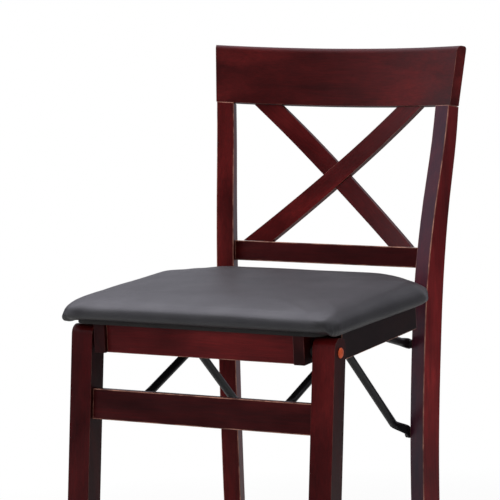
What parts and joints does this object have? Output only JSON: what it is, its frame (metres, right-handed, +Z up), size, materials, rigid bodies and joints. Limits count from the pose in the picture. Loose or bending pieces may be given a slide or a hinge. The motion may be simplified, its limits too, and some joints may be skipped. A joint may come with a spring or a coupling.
{
  "type": "folding bar stool",
  "caption": "Wooden folding bar stool with a crossed-slat back, padded vinyl seat and folding black steel braces.",
  "frame": {"origin": "on the floor, under the middle of the open stool's floor plan", "axes": "+Z up, +X across the stool to the right as seen from its front, +Y towards the back rest"},
  "size_m": [0.467, 0.6286, 1.0935],
  "materials": {
    "wood_espresso": "satin",
    "seat_vinyl": "satin",
    "board": "matte",
    "steel_black": "satin",
    "pin_steel": "satin",
    "rivet_copper": "satin",
    "nylon_black": "matte"
  },
  "bodies": {
    "back_frame": {"top_rail": "wood_espresso", "back_post_right": "wood_espresso", "back_post_left": "wood_espresso", "lower_back_rail": "wood_espresso", "back_slat_front": "wood_espresso", "back_slat_rear": "wood_espresso", "rear_stretcher": "wood_espresso", "rear_glide_right": "nylon_black", "rear_glide_left": "nylon_black", "post_pin_low_right": "pin_steel", "post_pin_low_left": "pin_steel", "post_pin_high_right": "pin_steel", "post_pin_high_left": "pin_steel"},
    "long_braces": {"long_brace_right": "steel_black", "long_brace_left": "steel_black"},
    "seat": {"seat_cushion": "seat_vinyl", "seat_board": "board", "seat_side_rail_right": "wood_espresso", "seat_side_rail_left": "wood_espresso", "outer_side_rail_right": "wood_espresso", "outer_side_rail_left": "wood_espresso", "front_apron": "wood_espresso", "rear_apron": "wood_espresso", "seat_pin_right": "pin_steel", "seat_pin_left": "pin_steel", "leg_rivet_right": "rivet_copper", "leg_rivet_left": "rivet_copper", "leg_washer_right": "nylon_black", "leg_washer_left": "nylon_black"},
    "front_frame": {"front_leg_right": "wood_espresso", "front_leg_left": "wood_espresso", "front_stretcher": "wood_espresso", "footrest_rail": "wood_espresso", "front_glide_right": "nylon_black", "front_glide_left": "nylon_black", "stretcher_clip_right": "steel_black", "stretcher_clip_left": "steel_black", "clip_pin_right": "pin_steel", "clip_pin_left": "pin_steel"},
    "short_braces": {"short_brace_right": "steel_black", "short_brace_left": "steel_black", "short_brace_pin_right": "pin_steel", "short_brace_pin_left": "pin_steel"},
    "upper_braces": {"upper_brace_right": "steel_black", "upper_brace_left": "steel_black", "upper_brace_pin_right": "pin_steel", "upper_brace_pin_left": "pin_steel"}
  },
  "joints": [
    {"name": "fold", "type": "hinge", "parent": "back_frame", "child": "long_braces", "pos_m": [0, 0.1706, 0.492], "axis": [-1, 0, 0], "range_deg": [0, 43]},
    {"name": "seat_turn", "type": "hinge", "parent": "long_braces", "child": "seat", "pos_m": [0, -0.0474, 0.696], "axis": [1, 0, 0], "range_deg": [0, 121]},
    {"name": "front_frame_turn", "type": "hinge", "parent": "seat", "child": "front_frame", "pos_m": [0, -0.1964, 0.6955], "axis": [-1, 0, 0], "range_deg": [0, 76]},
    {"name": "short_brace_turn", "type": "hinge", "parent": "front_frame", "child": "short_braces", "pos_m": [0, -0.1824, 0.604], "axis": [1, 0, 0], "range_deg": [0, 65.3]},
    {"name": "upper_brace_turn", "type": "hinge", "parent": "back_frame", "child": "upper_braces", "pos_m": [0, 0.1786, 0.6335], "axis": [-1, 0, 0], "range_deg": [0, 67.3]}
  ],
  "couplings": [
    {"joint": "seat_turn", "follows": "fold", "ratio": 2.814},
    {"joint": "front_frame_turn", "follows": "fold", "ratio": 1.7674},
    {"joint": "short_brace_turn", "follows": "fold", "ratio": 1.5186},
    {"joint": "upper_brace_turn", "follows": "fold", "ratio": 1.5651}
  ]
}
